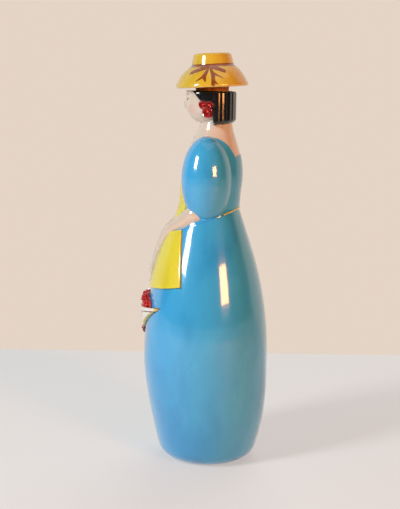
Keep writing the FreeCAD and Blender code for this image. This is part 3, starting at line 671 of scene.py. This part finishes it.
# roses: cupped petals wound round a bud, and in each ring their count, reach, rise and lean
rose = {"rings": ((5, 1.00, -0.10, 26), (4, 0.72, 0.14, 14), (3, 0.46, 0.34, 6)), "cup": 70.0, "thick": 0.10,
        "lip": 0.42, "base": -0.88, "out": 0.10, "width": 0.88, "height": 0.62, "twist": 40.0, "bud": 0.34,
        "petalSides": (28, 14), "budSides": (16, 10)}


def petalShape():
    petal = ballAt("petal", (0, 0, 0), (1, 1, 1), *rose["petalSides"])
    for sign in (1, -1):
        edge = math.radians(sign * rose["cup"])
        sliceOff(petal, (0, 0, 0), (-math.sin(edge) * sign, math.cos(edge) * sign, 0))
    sliceOff(petal, (0, 0, rose["lip"]), (0, 0, 1))
    sliceOff(petal, (0, 0, rose["base"]), (0, 0, 1), keepBelow=False)
    change(petal, "SOLIDIFY", thickness=rose["thick"] * mm, offset=0)
    return petal


petalMaster = petalShape()


def makeRose(name, centre, radius, facing, spin):
    parts = []
    turn = Vector(facing).to_track_quat("Z", "Y").to_matrix().to_4x4()
    place = Matrix.Translation(Vector(centre) * mm) @ turn
    for count, reach, rise, lean in rose["rings"]:
        wide = radius * reach * rose["width"]
        for i in range(count):
            petal = copyOf(petalMaster, "petal")
            petal.matrix_world = (
                place
                @ Matrix.Rotation(math.radians(360 * i / count + spin + rose["twist"] * reach), 4, "Z")
                @ Matrix.Translation((rose["out"] * radius * reach * mm, 0, rise * radius * mm))
                @ Matrix.Rotation(math.radians(lean), 4, "Y")
                @ Matrix.Diagonal((wide, wide, radius * rose["height"], 1)))
            settle(petal)
            parts.append(petal)
    budHalf = (rose["bud"] * radius, rose["bud"] * radius, rose["height"] * radius)
    bud = ballAt("bud", (0, 0, 0), budHalf, *rose["budSides"])
    bud.matrix_world = place
    settle(bud)
    return gather(name, parts + [bud])


# each bloom has its centre, radius and spin
earFlowers = {"facing": (1.0, -0.18, 0.05), "blooms": (
    ((15.0, -5.6, 233.2), 3.1, 20), ((15.7, -1.6, 232.9), 3.2, 75), ((15.3, -2.5, 228.9), 4.0, 130))}
leftFlowers = gather("leftEarFlowers", [makeRose("bloom", centre, radius, earFlowers["facing"], spin)
                                        for centre, radius, spin in earFlowers["blooms"]])
rightFlowers = otherSide(leftFlowers, "rightEarFlowers")
finished(leftFlowers, redGlaze, "red_glaze", "bottle", "left_ear_flowers", angle=50)
finished(rightFlowers, redGlaze, "red_glaze", "bottle", "right_ear_flowers", angle=50)


# forearms and hands, each one built up from tapered lengths; a station has its place and radius
arm = {"stations": ((14.5, -5.2, 165.8, 7.0), (14.5, -9.6, 163.7, 7.0), (12.0, -17.1, 158.1, 5.7),
                    (9.2, -23.3, 153.9, 4.7), (7.2, -27.5, 150.2, 4.3), (5.5, -30.6, 145.0, 3.6),
                    (4.2, -33.3, 138.4, 3.1), (3.4, -35.3, 131.8, 2.8)),
       "palm": ((3.4, -37.0, 126.2), (2.9, 2.3, 4.6)), "palmRoot": 2.6,
       "fingers": (((1.5, -37.9, 124.4), (1.2, -38.9, 119.3)), ((2.9, -38.0, 124.0), (2.7, -39.1, 118.2)),
                   ((4.3, -37.9, 124.0), (4.2, -38.9, 118.5)), ((5.5, -37.4, 124.4), (5.5, -38.2, 119.7))),
       "thumb": ((1.4, -37.6, 127.8), (0.8, -38.9, 123.6)), "fingerRadius": 0.84, "fingerTaper": (1.1, 0.8),
       "sides": 32, "sunk": 2.0, "voxel": 0.34, "passes": 6}


def limb(name, start, end, startRadius, endRadius):  # a tapered length with round ends
    a, b = Vector(start) * mm, Vector(end) * mm
    clearSelection()
    bpy.ops.mesh.primitive_cone_add(vertices=arm["sides"], radius1=startRadius * mm, radius2=endRadius * mm,
                                    depth=(b - a).length, location=(a + b) / 2,
                                    rotation=(b - a).to_track_quat("Z", "Y").to_euler())
    shaft = named(name)
    bpy.ops.object.transform_apply(location=True, rotation=True)
    ends = [ballAt("end", start, (startRadius,) * 3), ballAt("end", end, (endRadius,) * 3)]
    return gather(name, [shaft] + ends)


def makeForearm():
    parts = []
    for here, there in zip(arm["stations"], arm["stations"][1:]):
        parts.append(limb("length", here[:3], there[:3], here[3], there[3]))
    wrist = arm["stations"][-1]
    parts.append(limb("wrist", wrist[:3], arm["palm"][0], wrist[3], arm["palmRoot"]))
    parts.append(ballAt("palm", *arm["palm"]))
    rootRadius, tipRadius = [arm["fingerRadius"] * taper for taper in arm["fingerTaper"]]
    for root, tip in arm["fingers"] + (arm["thumb"],):
        parts.append(limb("finger", root, tip, rootRadius, tipRadius))
    piece = gather("leftForearm", parts)
    fuse(piece, arm["voxel"], arm["passes"])
    return piece


leftForearm = makeForearm()
carve(leftForearm, torsoSolid("armCore", -arm["sunk"]))
rightForearm = otherSide(leftForearm, "rightForearm")
finished(leftForearm, skinGlaze, "skin_glaze", "bottle", "left_forearm", angle=60)
finished(rightForearm, skinGlaze, "skin_glaze", "bottle", "right_forearm", angle=60)


# raised panels: yellow apron, front of the bodice and the trim round the waist
apron = {"thick": 1.6, "sunk": 1.0, "edge": -18.8, "hem": 123.77, "slant": 12.0, "round": 1.1, "roundCuts": 5,
         "steps": 216}
stomacher = {"thick": 1.0, "sunk": 0.9, "edge": -12.0, "halfWidth": 13.5, "round": 0.6, "roundCuts": 4,
             "steps": 192}
trim = {"stand": 0.55, "rise": 0.45, "start": 8.0, "radius": 0.5, "roundCuts": 5, "steps": 192}


def thicken(piece, panel):  # a sheet gets its depth and its rounded edges
    change(piece, "SOLIDIFY", thickness=(panel["thick"] + panel["sunk"]) * mm, offset=-1)
    soften(piece, panel["round"], panel["roundCuts"], 50)


apronPiece = turned("apron", skirtProfile(apron["thick"]), apron["steps"], skirtFoot)
sliceOff(apronPiece, (0, apron["edge"], 0), (0, 1, 0))
sliceOff(apronPiece, waistSpot, waistNormal)
sliceOff(apronPiece, (0, 0, apron["hem"]), slanted(apron["slant"]), keepBelow=False)
thicken(apronPiece, apron)
finished(apronPiece, yellowGlaze, "yellow_glaze", "bottle", "apron_panel")

frontLine = torsoProfile(stomacher["thick"])
frontPiece = turned("bodiceFront", frontLine, stomacher["steps"], torso["foot"], torso["lean"])
sliceOff(frontPiece, (0, stomacher["edge"], 0), (0, 1, 0))
for sign in (1, -1):
    sliceOff(frontPiece, (sign * stomacher["halfWidth"], 0, 0), (sign, 0, 0))
sliceOff(frontPiece, necklineSpot, necklineNormal)
sliceOff(frontPiece, waistSpot, waistNormal, keepBelow=False)
thicken(frontPiece, stomacher)
finished(frontPiece, yellowGlaze, "yellow_glaze", "bottle", "bodice_front")

# the trim is the line where a plane cuts the torso, given a round section
trimPiece = turned("waistTrim", torsoProfile(trim["stand"]), trim["steps"], torso["foot"], torso["lean"])
work(trimPiece)
bpy.ops.object.mode_set(mode="EDIT")
bpy.ops.mesh.select_all(action="SELECT")
bpy.ops.mesh.bisect(plane_co=(waistSpot + waistNormal * trim["rise"]) * mm, plane_no=waistNormal,
                    clear_outer=True, clear_inner=True)
bpy.ops.mesh.select_all(action="SELECT")
bpy.ops.mesh.bisect(plane_co=(0, trim["start"] * mm, 0), plane_no=(0, 1, 0), clear_inner=True)
bpy.ops.object.mode_set(mode="OBJECT")
bpy.ops.object.convert(target="CURVE")
trimCurve = bpy.context.object.data
trimCurve.bevel_depth = trim["radius"] * mm
trimCurve.bevel_resolution = trim["roundCuts"]
trimCurve.use_fill_caps = True
bpy.ops.object.convert(target="MESH")
trimPiece = named("waistTrim")
tidyMesh(trimPiece)
finished(trimPiece, yellowGlaze, "yellow_glaze", "bottle", "waist_cord", angle=60)


# bouquet on the front of the skirt: folded paper with a collar, roses and a knot
bouquet = {"centre": (0, -19.5, 98.0), "half": (30.0, 25.3, 30.0), "sides": (128, 80),
           "wing": ((0, 101.0), (25.0, 104.2), (0, 85.0)),
           "collar": ((0, 101.3), (25.0, 104.5), (22.6, 101.6), (0, 97.4)), "collarStand": 0.6,
           "cutFrom": -60.0, "cutDepth": 40.0, "sunk": 1.6, "voxels": (0.30, 0.27), "passes": 4,
           "hemWidth": 1.5, "hemStand": 2.4, "seamStand": 0.7, "foldWidth": 0.40, "rimWidth": 0.25,
           "creases": (((0.2, 97.0), (0.6, 86.0), 0.40, 0.35), ((9.0, 98.6), (3.4, 89.6), 0.35, 0.25)),
           "soft": 0.12, "tipFade": (89.2, 87.6), "fan": 0.012, "lift": 0.25,
           "blooms": (((-12.4, -40.6, 104.4), 4.3, 10), ((-6.2, -41.8, 107.2), 4.3, 50),
                      ((0, -42.3, 105.8), 4.4, 90), ((6.2, -41.8, 107.2), 4.3, 130),
                      ((12.4, -40.6, 104.4), 4.3, 170)),
           "knot": ((0, -42.8, 85.8), (1.8, 1.9, 2.3)), "knotSides": (40, 28), "knotTail": (0.7, 0.7, 1.3)}


def paperSheet(name, outline, grow):  # cut from a rounded bulge by its outline, the same on both sides
    piece = ballAt(name, bouquet["centre"], [value + grow for value in bouquet["half"]], *bouquet["sides"])
    whole = list(outline) + [(-x, z) for x, z in outline[::-1] if x]
    whole = [(x, bouquet["cutFrom"], z) for x, z in whole]
    carve(piece, slab("outline", whole, (0, bouquet["cutDepth"], 0)), "INTERSECT")
    return piece


def makePaper():
    collar = paperSheet("collar", bouquet["collar"], bouquet["collarStand"])
    piece = gather("bouquetPaper", [paperSheet("wings", bouquet["wing"], 0.0), collar])
    fuse(piece, bouquet["voxels"][0], 0)
    carve(piece, solidOf("paperCore", skirtProfile(-bouquet["sunk"]), skirt["steps"], skirtFoot))
    fuse(piece, bouquet["voxels"][1], bouquet["passes"])
    return piece


def paintedPaper():
    finish = Finish("paperGlaze")
    gloss, wave = glazeSkin(finish)
    colour = glazed(finish, "white", "skin", "white", 0.1)
    x, y, z = finish.axes()
    side = abs(x)
    (mx, mz), (cx, cz), tip = bouquet["wing"]
    edge = finish.stroke(side, z, (cx, cz), tip, 0.0, 0.0)
    fall = z - skirt["hip"]
    away = y - skirt["middle"]
    barrel = (skirt["sweep"] ** 2 - fall * fall) ** 0.5
    stand = (x * x + away * away) ** 0.5 - barrel - (skirt["hipRadius"] - skirt["sweep"])  # off the skirt
    fold, rim = bouquet["foldWidth"], bouquet["rimWidth"]
    strokes = ((*bouquet["collar"][2:], fold, fold), ((mx, mz + 0.1), (cx, cz + 0.2), rim, rim))
    strokes += bouquet["creases"]
    hem = (edge - bouquet["hemWidth"]).maths("MAXIMUM", stand - bouquet["hemStand"])
    lines = [(hem, glazeLook["yellow"]), (stand - bouquet["seamStand"], glazeLook["brown"])]
    lines += [(finish.stroke(side, z, *form), glazeLook["brown"]) for form in strokes]
    for distance, tint in lines:
        colour = finish.blend(finish.inside(distance, bouquet["soft"]), colour, tint)
    colour = finish.blend(finish.fade(z, *bouquet["tipFade"]), colour, glazeLook["redDeep"])
    return finish.close(colour, gloss, wave, grain["ripple"])


finished(makePaper(), paintedPaper(), "white_glaze", "bottle", "bouquet_paper", angle=60)
bunchPiece = gather("bouquetFlowers", [
    makeRose("bloom", centre, radius, (bouquet["fan"] * centre[0], -1, bouquet["lift"]), spin)
    for centre, radius, spin in bouquet["blooms"]])
finished(bunchPiece, redGlaze, "red_glaze", "bottle", "bouquet_flowers", angle=50)
bpy.data.objects.remove(petalMaster)

knotSpot = Vector(bouquet["knot"][0]) * mm
knotPiece = ballAt("bouquetKnot", *bouquet["knot"], *bouquet["knotSides"])
knotGlaze = plainGlaze("knotGlaze", "redDeep", "redDeep", "red", 0.0)
pick(knotPiece, lambda spot: spot.z < bouquet["knot"][0][2] * mm)
bpy.ops.transform.resize(value=bouquet["knotTail"], center_override=knotSpot)
bpy.ops.object.mode_set(mode="OBJECT")
finished(knotPiece, knotGlaze, "red_glaze", "bottle", "bouquet_knot")


# hat: crown and bell brim, hollow below, with a painted ribbon tied in a bow on its left side
hat = {"foot": (0, 0, 244.06), "tilt": 3.0, "steps": 144, "brim": (23.2, 1.6), "band": (13.7, 13.8),
       "sweep": 25.0, "bellCuts": 24, "bellEnd": -5, "bandRound": 1.0, "roundCuts": 8,
       "under": [(0, 6.6, 0), (13.4, 6.6, 1.6), (19.1, 0, 1.0), (23.2, 0, 1.2)],
       "crown": [(11.9, 21.4, 2.2), (0, 21.4, 0)],
       "lean": 0.8, "leanFrom": 8.0, "leanTo": 13.0, "leanCuts": 8,
       "stem": [(0, 252.9, 0), (3.0, 252.9, 0), (3.0, 230.96, 0.5), (6.4, 230.96, 0.5), (6.4, 253.6, 0),
                (0, 253.6, 0)], "stemCuts": 4, "stemSteps": 64}
# a stroke has its ends, seen from the hat's left side, and its width at each end
ribbon = {"band": 13.6, "bandHalf": 0.95, "degree": 0.30, "wobble": 0.9, "soft": 0.14, "strength": 0.95,
          "tint": (0.260, 0.058, 0.012, 1), "strokes": (
              ((-3.5, 12.6), (-12.6, 9.4), 1.50, 1.20), ((0.9, 12.8), (7.6, 9.8), 1.55, 1.20),
              ((-2.0, 11.6), (-5.0, 6.7), 0.80, 1.20), ((-4.8, 7.0), (-10.1, 4.0), 0.95, 0.22),
              ((-4.8, 6.9), (-4.3, 3.7), 1.20, 0.35), ((-0.4, 11.6), (0.8, 7.0), 0.80, 1.10),
              ((0.8, 7.0), (0.6, 1.4), 1.10, 0.90), ((0.9, 8.6), (6.9, 5.4), 0.85, 0.22),
              ((0.9, 4.2), (3.5, 1.6), 0.80, 0.22), ((-2.6, 12.9), (0.4, 13.0), 1.50, 1.50))}
bell = arcBetween(hat["brim"], hat["band"], hat["sweep"], hat["bellCuts"])


def brimSpot(spot):  # a spot seen from the left, as millimetres round the brim and height
    side, height = spot
    radius = min(bell, key=lambda point: abs(point[1] - height))[0]
    return math.degrees(math.asin(side / radius)) * ribbon["degree"], height


def paintedHat():
    finish = Finish("hatGlaze")
    gloss, wave = glazeSkin(finish)
    colour = glazed(finish, "gold", "goldDeep", "goldPale", 0.25)
    x, y, z = finish.axes()
    tip = math.radians(hat["tilt"])
    up = z - hat["foot"][2]
    rise = up * math.cos(tip) - y * math.sin(tip)
    back = up * math.sin(tip) + y * math.cos(tip)
    around = back.maths("ARCTAN2", x) * (180 / math.pi)
    reach = around * ribbon["degree"]
    wobble = (finish.noise(160.0, 2.0) - 0.5) * ribbon["wobble"]
    nearest = abs(rise - ribbon["band"] + wobble * 0.5) - ribbon["bandHalf"]
    for start, end, startWidth, endWidth in ribbon["strokes"]:
        stroke = finish.stroke(reach, rise, brimSpot(start), brimSpot(end), startWidth, endWidth)
        nearest = nearest.maths("MINIMUM", stroke + wobble * 0.18)
    outside = finish.fade(rise, 0.2, 0.7)  # not under the brim
    brush = finish.blend(finish.fade(finish.noise(420.0, 2.0), 0.35, 0.7), glazeLook["brown"], ribbon["tint"])
    mask = finish.inside(nearest, ribbon["soft"], ribbon["strength"]) * outside
    return finish.close(finish.blend(mask, colour, brush), gloss, wave, grain["ripple"])


hatLine = rounded(hat["under"] + [(*hat["brim"], 0)], hat["roundCuts"]) + bell[1:hat["bellEnd"]]
bandLine = [(*bell[hat["bellEnd"]], 0), (*hat["band"], hat["bandRound"])] + hat["crown"]
hatLine += rounded(bandLine, hat["roundCuts"])[1:]
hatPiece = turned("hat", hatLine, hat["steps"], hat["foot"], -hat["tilt"])
# the crown sits a little further back than the brim
leanFrom, leanTo = hat["foot"][2] + hat["leanFrom"], hat["foot"][2] + hat["leanTo"]
drift(hatPiece, leanFrom, leanTo, hat["leanCuts"], hat["lean"], above=True)
finished(hatPiece, paintedHat(), "yellow_glaze", "stopper", "hat_stopper")


def bisqueFinish():  # unglazed clay
    finish = Finish("bisque")
    tone = finish.fade(finish.noise(300.0, 4.0), 0.35, 0.7)
    colour = finish.blend(tone, glazeLook["bisque"], glazeLook["bisqueDark"])
    return finish.close(colour, 0.75, finish.noise(1500.0, 2.0), 0.2, coat=0.0)


stemPiece = turned("hatStem", rounded(hat["stem"], hat["stemCuts"]), hat["stemSteps"])
finished(stemPiece, bisqueFinish(), "white_glaze", "stopper")


def corkFinish():  # pressed grains with dark pores
    finish = Finish("corkFinish")
    grains = finish.node("ShaderNodeTexVoronoi", sockets={0: finish.place(), "Scale": 620.0})
    tone = finish.noise(260.0, 4.0)
    stretched = finish.node("ShaderNodeMapping", sockets={0: finish.place(), 3: (1.0, 1.0, 0.45)})
    pores = finish.node("ShaderNodeTexVoronoi", sockets={0: stretched, "Scale": 330.0})
    colour = finish.blend(finish.fade(tone, 0.35, 0.7), glazeLook["cork"], glazeLook["corkPale"])
    colour = finish.blend(finish.fade(grains, 0.25, 0.75, 0.0, 0.45), colour, glazeLook["corkDark"])
    pit = finish.fade(pores, 0.24, 0.14) * finish.fade(finish.noise(190.0, 2.0), 0.50, 0.58)
    colour = finish.blend(pit, colour, glazeLook["corkDark"])
    dull = finish.fade(tone, 0.3, 0.7, 0.65, 0.9)
    return finish.close(colour, dull, tone * 0.6 - pit, 0.6, coat=0.0, depth=0.0005)


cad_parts["cork_sleeve"].material_slots[0].material = corkFinish()
print("stopper made")


# stage: pale floor, soft light from one side, a warm lamp from the other and a fill behind
stageLook = {"floor": (0.80, 0.79, 0.78, 1), "floorDull": (0.6, 0.6, 0.6, 1), "floorSize": 6.0,
             "floorEdge": -0.26, "paleness": 0.5, "world": (1.0, 0.97, 0.94, 1), "worldStrength": 0.08,
             "beyond": (0.78, 0.66, 0.56, 1), "lampAim": (0, 0, 0.14)}
lamps = (
    {"name": "window", "spot": (0.55, -0.77, 0.60), "size": (0.22, 0.40), "watts": 9.2,
     "colour": (0.92, 0.97, 1.0)},
    {"name": "lamp", "spot": (0.70, 0.53, 0.34), "size": (0.24, 0.24), "watts": 5.2,
     "colour": (1.0, 0.38, 0.11)},
    {"name": "top", "spot": (0.10, 0.10, 1.10), "size": (0.80, 0.80), "watts": 1.0,
     "colour": (1.0, 0.97, 0.94)},
    {"name": "fill", "spot": (-0.75, 0.25, 0.55), "size": (0.80, 0.80), "watts": 4.0,
     "colour": (1.0, 0.98, 0.96), "mirrored": False},
)


def makeFloor():
    clearSelection()
    middle = (stageLook["floorSize"] / 2 + stageLook["floorEdge"], 0, 0)
    bpy.ops.mesh.primitive_plane_add(size=stageLook["floorSize"], location=middle)
    sheet = named("floor")
    finish = Finish("floor")
    tone = finish.fade(finish.noise(3.0, 2.0), 0.3, 0.7, 0.0, 0.06)
    finish.close(finish.blend(tone, stageLook["floor"], stageLook["floorDull"]), 0.6, coat=0.0)
    # half of what the eye sees of it is its own pale colour, the other half takes light and shadow
    glimpse = finish.node("ShaderNodeLightPath")
    mirrored = glimpse.also("Is Glossy Ray").maths("MAXIMUM", glimpse.also("Is Transmission Ray"))
    seen = glimpse.maths("MAXIMUM", mirrored)
    pale = finish.node("ShaderNodeEmission", sockets={0: stageLook["floor"], 1: 1.0})
    lit = Flow(finish, finish.nodes["Principled BSDF"].outputs[0])
    mixed = finish.node("ShaderNodeMixShader", sockets={0: seen * stageLook["paleness"], 1: lit, 2: pale})
    finish.links.new(mixed.socket, finish.nodes["Material Output"].inputs[0])
    sheet.data.materials.append(finish.material)


makeFloor()
for lamp in lamps:
    light = bpy.data.lights.new(lamp["name"], "AREA")
    light.shape = "RECTANGLE"
    light.size, light.size_y = lamp["size"]
    light.energy = lamp["watts"]
    light.color = lamp["colour"]
    stand = bpy.data.objects.new(lamp["name"], light)
    stand.location = lamp["spot"]
    stand.visible_glossy = lamp.get("mirrored", True)  # the fill lights the back without a gleam on the edges
    aim = Vector(stageLook["lampAim"]) - Vector(lamp["spot"])
    stand.rotation_euler = aim.to_track_quat("-Z", "Y").to_euler()
    bpy.context.collection.objects.link(stand)

sky = Finish("studio", bpy.data.worlds.new("studio"))
glimpse = sky.node("ShaderNodeLightPath")
ray = sky.node("ShaderNodeSeparateXYZ", sockets={0: sky.node("ShaderNodeTexCoord", out="Generated")})
mirrored = glimpse.also("Is Glossy Ray").maths("MAXIMUM", glimpse.also("Is Transmission Ray"))
seen = glimpse.maths("MAXIMUM", mirrored * sky.fade(ray, -0.05, -0.35))  # pale only behind the figure
glow = sky.node("ShaderNodeBackground", sockets={0: stageLook["world"], 1: stageLook["worldStrength"]})
beyond = sky.node("ShaderNodeBackground", sockets={0: stageLook["beyond"], 1: 1.0})
mixed = sky.node("ShaderNodeMixShader", sockets={0: seen, 1: glow, 2: beyond})
sky.node("ShaderNodeOutputWorld", sockets={0: mixed})
bpy.context.scene.world = sky.material
bpy.context.scene.view_settings.view_transform = "Standard"

view = {"spot": (0.650, 0, 0.243), "pitch": 80.62, "yaw": 90.57, "roll": 0.75, "lens": 70.94,
        "sensor": 36, "near": 0.01}
camera = bpy.data.objects.new("camera", bpy.data.cameras.new("camera"))
camera.data.lens = view["lens"]
camera.data.sensor_width = view["sensor"]
camera.data.clip_start = view["near"]
camera.matrix_world = (
    Matrix.Translation(view["spot"]) @ Matrix.Rotation(math.radians(view["yaw"]), 4, "Z")
    @ Matrix.Rotation(math.radians(view["pitch"]), 4, "X")
    @ Matrix.Rotation(math.radians(view["roll"]), 4, "Z"))
bpy.context.collection.objects.link(camera)
bpy.context.scene.camera = camera
print("stage set")
